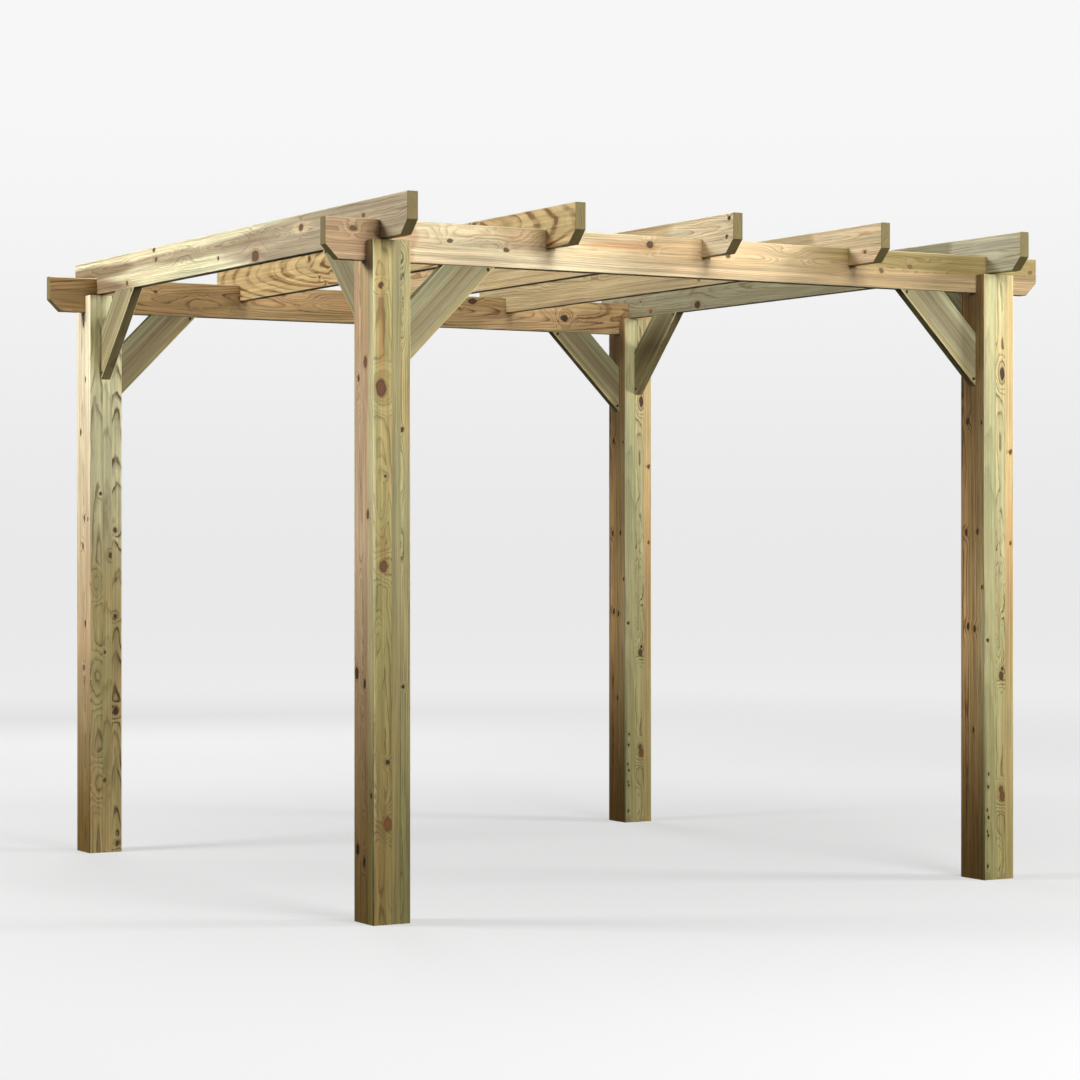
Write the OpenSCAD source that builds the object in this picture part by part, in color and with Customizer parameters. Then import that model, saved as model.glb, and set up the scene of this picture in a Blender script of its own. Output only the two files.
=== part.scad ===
// Free-standing timber pergola: four forked posts carry two beams on edge, notched
// rafters sit down over the beams, and two knee braces stiffen each post.
// X runs along the beams, Y along the rafters and Z up. The origin is the middle of
// the footprint, on the ground.

/* [Overall] */
// Width over the outer faces of the posts, along the beams
frame_width = 2700; // [1800:50:3600]
// Depth over the outer faces of the posts, along the rafters
frame_depth = 2700; // [1800:50:3600]
// Clear height from the ground to the underside of the beams
beam_clearance = 2205; // [1700:5:2700]
// How far beams and rafters run out past the posts
overhang = 150; // [80:10:400]

/* [Posts] */
// Side of the square post
post_side = 140; // [90:5:200]

/* [Beams] */
// Thickness of a beam
beam_thick = 40; // [25:1:50]
// Depth of a beam on edge
beam_deep = 140; // [120:5:220]

/* [Rafters] */
// How many rafters lie across the beams
rafter_count = 5; // [2:1:9]
// Thickness of a rafter
rafter_thick = 40; // [25:1:60]
// Depth of a rafter on edge
rafter_deep = 140; // [110:5:220]
// Depth of the notch that lets a rafter down over a beam
notch_deep = 65; // [20:5:80]

/* [Braces] */
// Thickness of a knee brace
brace_thick = 40; // [20:1:50]
// Width of the board that a knee brace is cut from
brace_wide = 140; // [60:5:170]
// How far a brace reaches along the post and along the board above it
brace_reach = 350; // [260:10:600]

/* [Cuts and fits] */
// Both legs of the slanting cut under the ends of beams and rafters
end_cut = 48; // [10:1:80]
// Play on each side of a beam in its post head or rafter notch
side_play = 0.5; // [0.2:0.1:3]
// Gap between the cheeks of a post head and the rafter above them
cheek_gap = 7; // [1:1:20]

/* [Hidden] */
ROWS = [["front", -1], ["back", 1]];
ENDS = [["left", -1], ["right", 1]];

// Centre lines of the posts, beams and outer rafters
post_x = (frame_width - post_side) / 2;
post_y = (frame_depth - post_side) / 2;

// Levels, from the ground up
beam_top = beam_clearance + beam_deep;
rafter_underside = beam_top - notch_deep;
cheek_top = rafter_underside - cheek_gap;

// Lengths of the boards, and the slot that takes a beam
beam_length = frame_width + 2 * overhang;
rafter_length = frame_depth + 2 * overhang;
slot_wide = beam_thick + 2 * side_play;
rafter_step = 2 * post_x / (rafter_count - 1);

// Length of a brace's end cut: the board's width across a cut at 45 degrees
brace_cut = brace_wide * sqrt(2);

// Extra depth that lets a cutting shape break cleanly through a face
through = 1;

// A board standing on edge along X with its middle at the origin and its underside at
// Z = 0, with both lower corners cut off at a slant.
module board_on_edge(length, deep, thick) {
    half = length / 2;
    rotate([90, 0, 0])
        linear_extrude(thick, center = true)
            polygon([
                [end_cut - half, 0], [half - end_cut, 0], [half, end_cut],
                [half, deep], [-half, deep], [-half, end_cut]
            ]);
}

// A square post whose head is slotted along X for the beam, leaving a cheek each side.
module post(side_x, side_y) {
    color("#c3b184")
        translate([side_x * post_x, side_y * post_y, 0])
            difference() {
                translate([-post_side / 2, -post_side / 2, 0])
                    cube([post_side, post_side, cheek_top]);
                translate([-post_side / 2 - through, -slot_wide / 2, beam_clearance])
                    cube([post_side + 2 * through, slot_wide, cheek_top]);
            }
}

// A beam on edge in the slots of the two posts of its row.
module beam(side_y) {
    color("#cdb389")
        translate([0, side_y * post_y, beam_clearance])
            board_on_edge(beam_length, beam_deep, beam_thick);
}

// One rafter, notched down over both beams. Number 1 is the left one.
module rafter(number) {
    color("#c9bd87")
        translate([(number - 1) * rafter_step - post_x, 0, rafter_underside])
            difference() {
                rotate([0, 0, 90])
                    board_on_edge(rafter_length, rafter_deep, rafter_thick);
                for (row = ROWS)
                    translate([
                        -rafter_thick / 2 - through,
                        row[1] * post_y - slot_wide / 2,
                        -through
                    ])
                        cube([rafter_thick + 2 * through, slot_wide, notch_deep + through]);
            }
}

// A knee brace in the XZ plane: its foot is flat against a post's face at X = 0 and its
// head is flat against the underside of a board at Z = 0.
module brace() {
    inner = brace_reach - brace_cut;
    rotate([90, 0, 0])
        linear_extrude(brace_thick, center = true)
            polygon([[0, -brace_reach], [brace_reach, 0], [inner, 0], [0, -inner]]);
}

// The brace between a post's inner face and the beam, in the beam's own plane.
module beam_brace(side_x, side_y) {
    color("#a99c74")
        translate([side_x * (post_x - post_side / 2), side_y * post_y, beam_clearance])
            rotate([0, 0, side_x < 0 ? 0 : 180])
                brace();
}

// The brace between a post's inner face and the outer rafter, in the rafter's own plane.
module rafter_brace(side_x, side_y) {
    color("#a59b70")
        translate([side_x * post_x, side_y * (post_y - post_side / 2), rafter_underside])
            rotate([0, 0, -90 * side_y])
                brace();
}

for (row = ROWS, end = ENDS) {
    corner = str(row[0], "_", end[0]);
    post(end[1], row[1]);
    beam_brace(end[1], row[1]);
    rafter_brace(end[1], row[1]);
}
for (row = ROWS)
    beam(row[1]);
for (i = [1 : rafter_count])
    rafter(i);
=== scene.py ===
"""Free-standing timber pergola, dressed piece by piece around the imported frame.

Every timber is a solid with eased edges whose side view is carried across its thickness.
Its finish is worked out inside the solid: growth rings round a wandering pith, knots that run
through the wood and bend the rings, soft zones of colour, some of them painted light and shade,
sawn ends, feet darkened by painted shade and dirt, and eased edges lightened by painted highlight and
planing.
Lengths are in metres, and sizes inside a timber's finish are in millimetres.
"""

from __future__ import annotations

import logging
import math
from dataclasses import dataclass, field, replace
from enum import Enum
from typing import Any, Mapping, Sequence, Union

import bpy
import numpy as np
from mathutils import Matrix, Vector

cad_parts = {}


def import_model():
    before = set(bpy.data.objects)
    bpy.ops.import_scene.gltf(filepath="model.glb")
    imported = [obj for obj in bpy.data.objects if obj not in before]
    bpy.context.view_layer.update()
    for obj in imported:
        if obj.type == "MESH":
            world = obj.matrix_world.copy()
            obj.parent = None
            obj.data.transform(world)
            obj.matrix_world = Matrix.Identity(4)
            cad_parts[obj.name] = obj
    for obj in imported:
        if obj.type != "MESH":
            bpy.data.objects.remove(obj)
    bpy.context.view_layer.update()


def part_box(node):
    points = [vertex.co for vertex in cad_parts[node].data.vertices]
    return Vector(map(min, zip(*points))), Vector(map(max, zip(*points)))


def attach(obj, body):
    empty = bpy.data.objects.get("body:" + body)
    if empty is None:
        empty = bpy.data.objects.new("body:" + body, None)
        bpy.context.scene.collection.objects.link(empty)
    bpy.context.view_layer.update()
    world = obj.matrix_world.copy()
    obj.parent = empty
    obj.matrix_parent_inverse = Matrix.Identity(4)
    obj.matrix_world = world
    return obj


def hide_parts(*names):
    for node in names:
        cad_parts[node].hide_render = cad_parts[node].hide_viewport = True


log = logging.getLogger("pergola")

MM = 0.001
BODY = "root"

Colour = tuple[float, float, float]


def srgb(red: float, green: float, blue: float) -> tuple[float, float, float, float]:
    """Turns a screen colour into the linear colour that shaders take.

    Args:
        red: Red on the screen, 0 to 255.
        green: Green on the screen, 0 to 255.
        blue: Blue on the screen, 0 to 255.

    Returns:
        Linear red, green, blue and an alpha of 1.
    """
    screen = np.array([red, green, blue]) / 255.0
    linear = np.where(screen <= 0.04045, screen / 12.92, ((screen + 0.055) / 1.055) ** 2.4)
    return (*linear.tolist(), 1.0)


# ---------------------------------------------------------------------------------------
# Shader graphs
# ---------------------------------------------------------------------------------------


class Term:
    """One shader socket. Arithmetic on it adds Math nodes, so masks read as expressions."""

    def __init__(self, graph: "Graph", socket: bpy.types.NodeSocket) -> None:
        """Wraps a socket.

        Args:
            graph: The graph that the socket belongs to.
            socket: An output socket.
        """
        self.graph = graph
        self.socket = socket

    def other(self, name: str) -> "Term":
        """Another output of the same node, by name."""
        return Term(self.graph, self.socket.node.outputs[name])

    def __add__(self, value: "Number") -> "Term":
        """Sum."""
        return self.graph.math("ADD", self, value)

    def __sub__(self, value: "Number") -> "Term":
        """Difference."""
        return self.graph.math("SUBTRACT", self, value)

    def __rsub__(self, value: "Number") -> "Term":
        """Difference, from a number on the left."""
        return self.graph.math("SUBTRACT", value, self)

    def __mul__(self, value: "Number") -> "Term":
        """Product."""
        return self.graph.math("MULTIPLY", self, value)

    def __truediv__(self, value: "Number") -> "Term":
        """Quotient."""
        return self.graph.math("DIVIDE", self, value)

    __radd__ = __add__
    __rmul__ = __mul__


Number = Union[Term, float]


class Graph:
    """A node tree. Every node but those of plain arithmetic comes from node()."""

    def __init__(self, owner: Union[bpy.types.Material, bpy.types.World]) -> None:
        """Empties the node tree of a material or a world.

        Args:
            owner: The material or world.
        """
        owner.use_nodes = True
        self.owner = owner
        self.tree = owner.node_tree
        self.tree.nodes.clear()

    def node(
        self,
        kind: str,
        settings: Mapping[str, Any] | None = None,
        inputs: Mapping[Union[str, int], Any] | None = None,
        output: Union[str, int] = 0,
    ) -> Term:
        """Adds a node.

        Args:
            kind: The node's type without its ShaderNode prefix.
            settings: Properties, set before the sockets. "stops" fills a colour ramp.
            inputs: Values or links for the sockets, by name or number.
            output: The output socket to return.

        Returns:
            The chosen output.
        """
        made = self.tree.nodes.new("ShaderNode" + kind)
        for name, value in (settings or {}).items():
            if name == "stops":
                self._fill_ramp(made.color_ramp, value)
            else:
                setattr(made, name, value)
        for key, value in (inputs or {}).items():
            if isinstance(value, Term):
                self.tree.links.new(value.socket, made.inputs[key])
            else:
                made.inputs[key].default_value = value
        return Term(self, made.outputs[output]) if made.outputs else Term(self, None)

    @staticmethod
    def _fill_ramp(ramp: bpy.types.ColorRamp, stops: Sequence[tuple[float, float]]) -> None:
        """Fills a ramp with grey stops.

        Args:
            ramp: The ramp.
            stops: Position and grey level of each stop.
        """
        while len(ramp.elements) < len(stops):
            ramp.elements.new(1.0)
        for element, (position, level) in zip(ramp.elements, stops):
            element.position = position
            element.color = (level, level, level, 1.0)

    def math(self, operation: str, *values: Number) -> Term:
        """One Math node on one to three values."""
        return self.node("Math", {"operation": operation}, dict(enumerate(values)))

    def vector(self, operation: str, *values: Any, output: str = "Vector") -> Term:
        """One Vector Math node on one to three vectors."""
        return self.node("VectorMath", {"operation": operation}, dict(enumerate(values)), output)

    def scaled(self, vector: Term, factor: Number) -> Term:
        """A vector or colour times a number."""
        return self.node("VectorMath", {"operation": "SCALE"}, {"Vector": vector, "Scale": factor})

    def ease(self, value: Term, low: float, high: float, start: float = 0.0, end: float = 1.0) -> Term:
        """Runs smoothly from start to end while a value goes from low to high.

        Args:
            value: The value.
            low: Where the change begins. It may be above high.
            high: Where the change is complete.
            start: The result up to low.
            end: The result from high on.

        Returns:
            The eased value.
        """
        if low > high:
            low, high, start, end = high, low, end, start
        limits = {"From Min": low, "From Max": high, "To Min": start, "To Max": end}
        settings = {"interpolation_type": "SMOOTHSTEP", "clamp": True}
        return self.node("MapRange", settings, {"Value": value, **limits})

    def mix(self, factor: Number, under: Any, over: Any, blend: str = "MIX") -> Term:
        """Blends two colours.

        Args:
            factor: How much of the upper colour shows, 0 to 1.
            under: The lower colour.
            over: The upper colour.
            blend: Blender's name for the way of blending.

        Returns:
            The blended colour.
        """
        settings = {"data_type": "RGBA", "blend_type": blend, "clamp_factor": True}
        return self.node("Mix", settings, {0: factor, 6: under, 7: over}, 2)

    def noise(self, place: Term, detail: float = 2.0, roughness: float = 0.5) -> Term:
        """Smooth noise at a place that is already scaled. Its Color output has three channels."""
        inputs = {"Vector": place, "Scale": 1.0, "Detail": detail, "Roughness": roughness}
        return self.node("TexNoise", {"noise_dimensions": "3D"}, inputs)

    def finish(self, **surface: Any) -> bpy.types.Material:
        """Ends the graph in a Principled shader.

        Args:
            **surface: Socket values or links, with spaces written as underscores.

        Returns:
            The finished material.
        """
        inputs = {name.replace("_", " "): value for name, value in surface.items()}
        shader = self.node("BsdfPrincipled", inputs=inputs)
        self.node("OutputMaterial", inputs={"Surface": shader})
        return self.owner


def material_graph(name: str) -> Graph:
    """A new, empty material's graph."""
    return Graph(bpy.data.materials.new(name))


# ---------------------------------------------------------------------------------------
# Timber finish
# ---------------------------------------------------------------------------------------


class Way(Enum):
    """The way a knot's branch runs in its timber."""

    THROUGH = "through"  # comes out on the wide faces, or a post's front and back
    ACROSS = "across"  # comes out on the edges, or a post's sides


@dataclass(frozen=True)
class Knot:
    """A branch in the wood, in millimetres from the timber's start, low edge or front face."""

    along: float
    side: float
    radius: float
    long: float = 1.5  # how far it is drawn out along the grain
    dead: float = 0.5  # 0 is a live, orange knot and 1 a black, dead one
    way: Way = Way.THROUGH
    swirl: float = 1.6  # how strongly the rings bend round it, in radii
    hidden: bool = False  # it stays below the surface and only closes the rings round itself


Span = Union[tuple[float, float], None]


@dataclass(frozen=True)
class Zone:
    """A soft-edged stretch of the wood with its own colour, in millimetres."""

    colour: Colour
    strength: float
    along: Span = None
    across: Span = None
    through: Span = None
    soft: float = 14.0  # half the width of the fading edge, over its shortest span


@dataclass(frozen=True)
class Stave:
    """One plank's growth and colours. A board is one stave, and a laminated post is three."""

    pale: Colour
    late: Colour
    warm: Colour
    green: Colour
    pith: tuple[float, float] = (70.0, -60.0)  # across and through
    lean: tuple[float, float] = (0.0, 22.0)  # millimetres that the pith drifts in a metre
    ring: float = 5.0  # width of a growth ring
    wander: float = 24.0  # how far slow bends carry the rings
    ripple: float = 3.0  # how far short ripples carry them
    grain: float = 0.6  # how dark the late wood's lines are
    side_grain: float = 0.6  # the same on a post's left side
    warmth: float = 0.5  # how strongly the warm patches show
    greenness: float = 0.5  # the same for the green ones
    knots: tuple[Knot, ...] = ()
    seed: float = 0.0  # metres along the noises, which sets its grain apart


@dataclass(frozen=True)
class TimberFinish:
    """The whole look of one timber, from its staves to its foot, darkened by painted shade and dirt."""

    staves: tuple[Stave, ...]
    seams: tuple[float, ...] = ()  # where one stave meets the next, from the left
    zones: tuple[Zone, ...] = ()
    end: Colour = (136, 121, 76)
    knot_live: Colour = (156, 106, 62)
    knot_dead: Colour = (68, 48, 32)
    foot_shade_and_dirt: float = 0.0  # how much painted shade and dirt darken the foot
    side_shade_and_dirt: float = 0.0  # the same on the left side
    foot_shade_reach: float = 1700.0  # height where the painted shade and dirt end
    side_shade_reach: float = 1050.0  # the same on the left side


@dataclass(frozen=True)
class Lie:
    """How a timber lies: its start and the ways its length and its width run."""

    start: Vector
    along: Vector
    across: Vector

    def turn(self) -> tuple[float, float, float]:
        """Euler angles that take X, Y and Z to along, across and through."""
        through = self.along.cross(self.across)
        return tuple(Matrix((self.along, self.across, through)).transposed().to_euler())


@dataclass(frozen=True)
class Noise:
    """One noise of the grain: how fast it varies in a metre, and how fine its detail is."""

    along: float
    across: float
    detail: float = 2.0
    roughness: float = 0.5


PATCHES = Noise(1.1, 9.0, 3.0)  # warm and green patches
STREAKS = Noise(1.6, 85.0, 4.0, 0.6)  # long light and dark streaks
SWING = Noise(2.6, 9.0, 2.5)  # slow bends of the rings and the zones' edges
BREAKS = Noise(5.0, 26.0)  # where the rings' lines fade
RIPPLES = Noise(8.0, 30.0, 2.5, 0.55)  # short ripples of the rings
FIBRES = Noise(22.0, 900.0, 3.0, 0.6)  # fine fibres
TREMBLES = Noise(38.0, 70.0, 2.0, 0.6)  # the small strays of a knot's outline

# Ranges for ease(): where a noise begins and ends to count, then the result at either end
WARM_PATCH = (0.42, 0.66)
GREEN_PATCH = (0.44, 0.66)
STREAK_SHADE = (0.25, 0.75, 0.72, 1.22)
BAND_SHADE = (0.3, 0.7, 0.88, 1.1)
FIBRE_SHADE = (0.2, 0.8, 0.85, 1.13)
LINE_FADE = (0.35, 0.6, 0.35, 1.0)
HALO_FADE = (0.3, 0.6, 0.5, 1.0)
HEART_SHADE = (0.2, 0.9, 1.25, 0.7)
ROUGHNESS = (0.2, 1.4, 0.72, 0.56)

# The same for distances from a knot, in its radii
NO_KNOT = 9.0  # stands for no knot near by
PUSH_REACH = (4.5, 0.4)
DEAD_REACH = (1.9, 1.3)
HALO_REACH = (2.2, 0.9, 0.0, 0.6)
HEART_REACH = (1.1, 0.85)
BARK_REACH = (0.28, 0.05, 0.0, 0.85)
BRANCH_LEAN = 0.05  # how far a branch leans off the square
HEART_RINGS = 3.0  # rings in a knot's heart
HEART_RAGGED = 1.2  # how far the streaks move them, in rings
LIVE_BARK = 0.3  # how much bark shows round a live knot
ARRIS_HIGHLIGHT = 0.35  # how much lighter the eased edges are, by painted highlight and planing

BAND_SCALE = 70.0  # how fast growth varies from ring to ring, in a metre
BAND_SHIFT = 1.6  # how far that moves the rings, in ring widths
ZONE_STRAY = 6.0  # how much further a zone's ends stray than its edges
KNOT_STRAY = 0.2  # the share of the rings' bends that the knots follow
LEFT_SIDE = (5 * MM, 3 * MM)  # depths where a post's left side begins and is full

# Levels of the growth rings: pale early wood that darkens into a line of late wood
RING_STOPS = ((0.0, 0.5), (0.06, 0.0), (0.5, 0.03), (0.74, 0.35), (0.86, 1.0), (0.95, 1.0), (1.0, 0.5))
TREMBLE = (16 * MM, 10 * MM, 10 * MM)  # how far a knot's outline strays along and across
KNOT_BARK = (54, 40, 28)
KNOT_HALO = (166, 122, 70)
# Tint that painted shade and dirt multiply into a post's foot
SHADE_AND_DIRT_TINT = (152, 142, 84)
# Painted highlight, with some planed wear, on the eased edges
ARRIS_HIGHLIGHT_TINT = (240, 232, 196)
LATE_END = (150, 140, 115)


class TimberShader:
    """Turns a timber finish into a material."""

    def __init__(self, name: str, lie: Lie, finish: TimberFinish) -> None:
        """Sets up the timber's own coordinates.

        Args:
            name: The material's name.
            lie: How the timber lies.
            finish: The timber's look.
        """
        self.finish = finish
        self.graph = graph = material_graph(name)
        place = graph.node("TexCoord", output="Object")
        inputs = {"Vector": place, "Location": tuple(lie.start), "Rotation": lie.turn()}
        self.local = graph.node("Mapping", {"vector_type": "TEXTURE"}, inputs)
        split = graph.node("SeparateXYZ", inputs={"Vector": self.local})
        self.along, self.across, self.through = split, split.other("Y"), split.other("Z")
        self.past_seam = [
            graph.math("GREATER_THAN", self.across, seam * MM) for seam in finish.seams
        ]
        grown = self.along + self.pick([stave.seed for stave in finish.staves])
        inputs = {"X": grown, "Y": self.across, "Z": self.through}
        self.grain_place = graph.node("CombineXYZ", inputs=inputs)

    def pick(self, values: Sequence[Number]) -> Number:
        """Each stave's own value, chosen by place.

        Args:
            values: One number or mask for each stave.

        Returns:
            The value at the place, a plain number where all staves share it.
        """
        result = values[0]
        for mask, before, after in zip(self.past_seam, values, values[1:]):
            if isinstance(after, Term) or isinstance(before, Term):
                result = mask * after + (1 - mask) * result
            elif after != before:
                result = mask * (after - before) + result
        return result

    def pick_colour(self, colours: Sequence[Colour]) -> Any:
        """Each stave's own colour, chosen by place.

        Args:
            colours: One colour for each stave.

        Returns:
            The colour at the place.
        """
        result = srgb(*colours[0])
        for mask, colour in zip(self.past_seam, colours[1:]):
            result = self.graph.mix(mask, result, srgb(*colour))
        return result

    def noise(self, kind: Noise) -> Term:
        """One of the grain's noises, drawn out along the grain."""
        place = self.graph.vector("MULTIPLY", self.grain_place, (kind.along, kind.across, kind.across))
        return self.graph.noise(place, kind.detail, kind.roughness)

    def knots(self, stave: Stave, place: Term) -> tuple[Number, Number, Number]:
        """Measures every knot of a stave.

        A knot is a line through the wood. Its measure is the distance from that line in
        knot radii, taken after the place is squeezed along the grain by the knot's length.

        Args:
            stave: The stave.
            place: The timber's coordinates, slightly warped.

        Returns:
            The distance from the nearest knot in its radii, how far the rings are pushed
            outwards, and how dead the knot here is.
        """
        graph = self.graph
        nearest: Number = NO_KNOT
        push: Number = 0.0
        dead: Number = 0.0
        for knot in stave.knots:
            through = knot.way is Way.THROUGH
            centre = (knot.along, knot.side, 0.0) if through else (knot.along, 0.0, knot.side)
            axis = (0.0, BRANCH_LEAN, 1.0) if through else (0.0, 1.0, BRANCH_LEAN)
            squeeze = (1.0 / knot.long, 1.0, 1.0)
            away = tuple(-c * MM * s for c, s in zip(centre, squeeze))
            offset = graph.vector("MULTIPLY_ADD", place, squeeze, away)
            beside = graph.vector("CROSS_PRODUCT", offset, axis)
            distance = graph.vector("LENGTH", beside, output="Value") * (1.0 / (knot.radius * MM))
            push = graph.ease(distance, *PUSH_REACH, 0.0, knot.radius * MM * knot.swirl) + push
            if knot.hidden:
                continue
            nearest = graph.math("MINIMUM", distance, nearest)
            dead = graph.math("MAXIMUM", graph.ease(distance, *DEAD_REACH, 0.0, knot.dead), dead)
        return nearest, push, dead

    def rings(self, wobble: Term, push: Number) -> tuple[Term, Term]:
        """Growth rings: lines where the distance from the leaning, wandering pith, plus the
        push of the knots, is a whole number of ring widths.

        Args:
            wobble: A small displacement of the place.
            push: How far the knots push the rings outwards.

        Returns:
            How much late wood there is, 0 to 1, and noise that is even along each ring.
        """
        graph, staves = self.graph, self.finish.staves
        shift = graph.node("SeparateXYZ", inputs={"Vector": wobble})
        sides = []
        for side, place, channel in ((0, self.across, "Y"), (1, self.through, "Z")):
            pith = self.pick([stave.pith[side] * MM for stave in staves])
            lean = self.pick([stave.lean[side] * MM for stave in staves])
            sides.append(place - pith - self.along * lean + shift.other(channel))
        from_pith = graph.node("CombineXYZ", inputs={"Y": sides[0], "Z": sides[1]})
        ripple = self.noise(RIPPLES) - 0.5
        ripple = ripple * self.pick([2.0 * stave.ripple * MM for stave in staves])
        radius = graph.vector("LENGTH", from_pith, output="Value") + ripple + push
        inputs = {"W": radius, "Scale": BAND_SCALE, "Detail": 3.0}
        uneven = graph.node("TexNoise", {"noise_dimensions": "1D"}, inputs)
        width = self.pick([stave.ring * MM for stave in staves])
        turns = radius / width + uneven * BAND_SHIFT
        line = graph.math("FRACT", turns)
        return graph.node("ValToRGB", {"stops": RING_STOPS}, {"Fac": line}), uneven

    def zone_mask(self, zone: Zone, wobble: Term) -> Number:
        """A soft oval: full inside the zone's spans and 0 outside them, with wandering edges.

        It is taken from the length of the vector whose parts are the distances from the
        zone's middle, each over half its span.

        Args:
            zone: The zone.
            wobble: A small displacement of the place.

        Returns:
            How much of the zone's colour shows, 0 to its strength.
        """
        graph = self.graph
        spans = (zone.along, zone.across, zone.through)
        middle = [(span[0] + span[1]) / 2 * MM if span else 0.0 for span in spans]
        half = [(span[1] - span[0]) / 2 * MM if span else math.inf for span in spans]
        stretch = (ZONE_STRAY if zone.along else 0.0, 1.0, 1.0)
        moved = graph.vector("MULTIPLY_ADD", wobble, stretch, self.local)
        away = graph.vector("SUBTRACT", moved, tuple(middle))
        away = graph.vector("MULTIPLY", away, tuple(1.0 / size for size in half))
        away = graph.vector("LENGTH", away, output="Value")
        soft = min(0.9, zone.soft * MM / min(half))
        return graph.ease(away, 1.0 + soft, 1.0 - soft) * zone.strength

    def build(self) -> bpy.types.Material:
        """Builds the material.

        Returns:
            The finished material.
        """
        graph, finish = self.graph, self.finish
        staves = finish.staves
        wander = self.pick([stave.wander * MM for stave in staves])
        swing = self.noise(SWING).other("Color")
        wobble = graph.scaled(graph.vector("SUBTRACT", swing, (0.5, 0.5, 0.5)), wander)
        tremble = self.noise(TREMBLES).other("Color")
        tremble = graph.vector("MULTIPLY_ADD", tremble, TREMBLE, tuple(-0.5 * t for t in TREMBLE))
        warped = graph.vector("ADD", self.local, graph.scaled(wobble, KNOT_STRAY))
        warped = graph.vector("ADD", warped, tremble)

        measured = [self.knots(stave, warped) for stave in staves]
        nearest, push, dead = (self.pick([m[i] for m in measured]) for i in range(3))
        late, bands = self.rings(wobble, push)

        patches = self.noise(PATCHES).other("Color")
        patch = graph.node("SeparateXYZ", inputs={"Vector": patches})
        streaks, fibres, broken = (self.noise(kind) for kind in (STREAKS, FIBRES, BREAKS))

        colour = self.pick_colour([stave.pale for stave in staves])
        warmth = graph.ease(patch, *WARM_PATCH) * self.pick([s.warmth for s in staves])
        colour = graph.mix(warmth, colour, self.pick_colour([s.warm for s in staves]))
        greenness = graph.ease(patch.other("Y"), *GREEN_PATCH) * self.pick([s.greenness for s in staves])
        colour = graph.mix(greenness, colour, self.pick_colour([s.green for s in staves]))
        for zone in finish.zones:
            colour = graph.mix(self.zone_mask(zone, wobble), colour, srgb(*zone.colour))
        colour = graph.scaled(colour, graph.ease(streaks, *STREAK_SHADE))
        colour = graph.scaled(colour, graph.ease(bands, *BAND_SHADE))

        contrast = self.pick([stave.grain for stave in staves])
        on_side = graph.ease(self.across, *LEFT_SIDE)
        if len(staves) > 1:
            contrast = on_side * (self.pick([s.side_grain for s in staves]) - contrast) + contrast
        line = late * graph.ease(broken, *LINE_FADE) * contrast
        colour = graph.mix(line, colour, self.pick_colour([s.late for s in staves]), "MULTIPLY")
        colour = graph.scaled(colour, graph.ease(fibres, *FIBRE_SHADE))

        if isinstance(nearest, Term):
            colour = self.paint_knots(colour, nearest, dead, streaks)
        # Painted shade, with some dirt: the wood darkens towards the foot, more on a post's left side
        if finish.foot_shade_and_dirt:
            shade_and_dirt_amount = on_side * (finish.side_shade_and_dirt - finish.foot_shade_and_dirt) + finish.foot_shade_and_dirt
            reach = on_side * (finish.side_shade_reach - finish.foot_shade_reach) + finish.foot_shade_reach
            foot = graph.ease(self.along / (reach * MM), 1.0, 0.0) * shade_and_dirt_amount
            colour = graph.mix(foot, colour, srgb(*SHADE_AND_DIRT_TINT), "MULTIPLY")

        sawn = graph.node("Attribute", {"attribute_name": "end_grain"}, output="Fac")
        end = graph.mix(line, srgb(*finish.end), srgb(*LATE_END), "MULTIPLY")
        colour = graph.mix(sawn, colour, end)
        # Painted highlight along the eased edges, with some planed wear
        arris = graph.node("Attribute", {"attribute_name": "arris"}, output="Fac")
        colour = graph.mix(arris * ARRIS_HIGHLIGHT, colour, srgb(*ARRIS_HIGHLIGHT_TINT))

        height = fibres * 0.35 + late * 0.4 + streaks * 0.25
        inputs = {"Height": height, "Strength": 0.45, "Distance": 0.5 * MM}
        bump = graph.node("Bump", inputs=inputs)
        roughness = graph.ease(late + fibres * 0.5, *ROUGHNESS)
        return graph.finish(Base_Color=colour, Roughness=roughness, Normal=bump, Specular_IOR_Level=0.3)

    def paint_knots(self, colour: Term, nearest: Term, dead: Number, streaks: Term) -> Term:
        """Lays knots over the wood: a warm halo, a ringed heart and a dark rim of bark.

        Args:
            colour: The wood's colour.
            nearest: The distance from the nearest knot, in its radii.
            dead: How dead the knot here is.
            streaks: The wood's streaks, which break up the halo.

        Returns:
            The colour with the knots.
        """
        graph = self.graph
        halo = graph.ease(nearest, *HALO_REACH) * graph.ease(streaks, *HALO_FADE)
        colour = graph.mix(halo, colour, srgb(*KNOT_HALO))
        rings = graph.math("FRACT", nearest * HEART_RINGS + streaks * HEART_RAGGED)
        heart = graph.mix(dead, srgb(*self.finish.knot_live), srgb(*self.finish.knot_dead))
        heart = graph.scaled(heart, graph.ease(rings, *HEART_SHADE))
        colour = graph.mix(graph.ease(nearest, *HEART_REACH), colour, heart)
        rim = graph.ease(graph.math("ABSOLUTE", nearest - 1.0), *BARK_REACH)
        bark = rim * (dead * (1.0 - LIVE_BARK) + LIVE_BARK)
        return graph.mix(bark, colour, srgb(*KNOT_BARK))


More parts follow.
